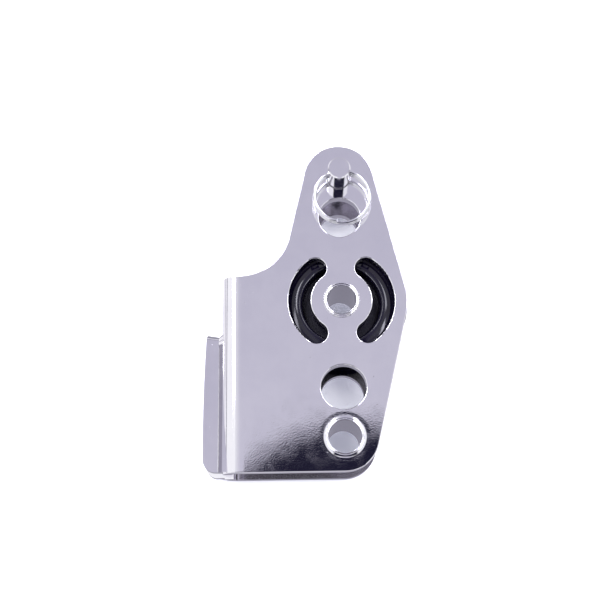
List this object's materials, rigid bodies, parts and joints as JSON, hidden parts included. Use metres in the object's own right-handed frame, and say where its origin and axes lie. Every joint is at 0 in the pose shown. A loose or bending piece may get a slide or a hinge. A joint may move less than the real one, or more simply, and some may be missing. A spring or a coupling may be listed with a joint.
{
  "type": "sheave block with V jam",
  "caption": "Flat stainless sheave block with a V-jam cleat on one edge, a hollow rivet becket and a clevis pin held by a split ring.",
  "frame": {"origin": "on the sheave's axis, midway between the two cheeks", "axes": "+Z along the sheave's axis, out of the cheek that the pin's tip passes through; +Y towards the clevis pin; -X towards the web and its V jam. The block lies on its back cheek"},
  "size_m": [0.0447, 0.074, 0.0193],
  "materials": {
    "polished_stainless": "electropolished, faint orange peel",
    "black_nylon": "moulded, semi-gloss",
    "turned_stainless": "turned, bright",
    "ring_wire": "drawn wire, bright"
  },
  "bodies": {
    "frame": {"folded_frame": "polished_stainless", "axle_rivet": "turned_stainless", "axle_sleeve": "turned_stainless", "becket_rivet": "turned_stainless", "becket_spacer": "turned_stainless"},
    "sheave": {"sheave": "black_nylon"},
    "clevis_pin": {"clevis_pin": "turned_stainless"},
    "split_ring": {"split_ring": "ring_wire"}
  },
  "joints": [
    {"name": "sheave_spin", "type": "hinge", "parent": "frame", "child": "sheave", "pos_m": [0, 0, 0], "axis": [0, 0, 1], "continuous": true},
    {"name": "pin_turn", "type": "hinge", "parent": "frame", "child": "clevis_pin", "pos_m": [0, 0.0287, 0], "axis": [0, 0, 1], "continuous": true},
    {"name": "ring_swing", "type": "hinge", "parent": "clevis_pin", "child": "split_ring", "pos_m": [0, 0.0287, 0.0085], "axis": [-1, 0, 0], "range_deg": [-4, 150]}
  ]
}
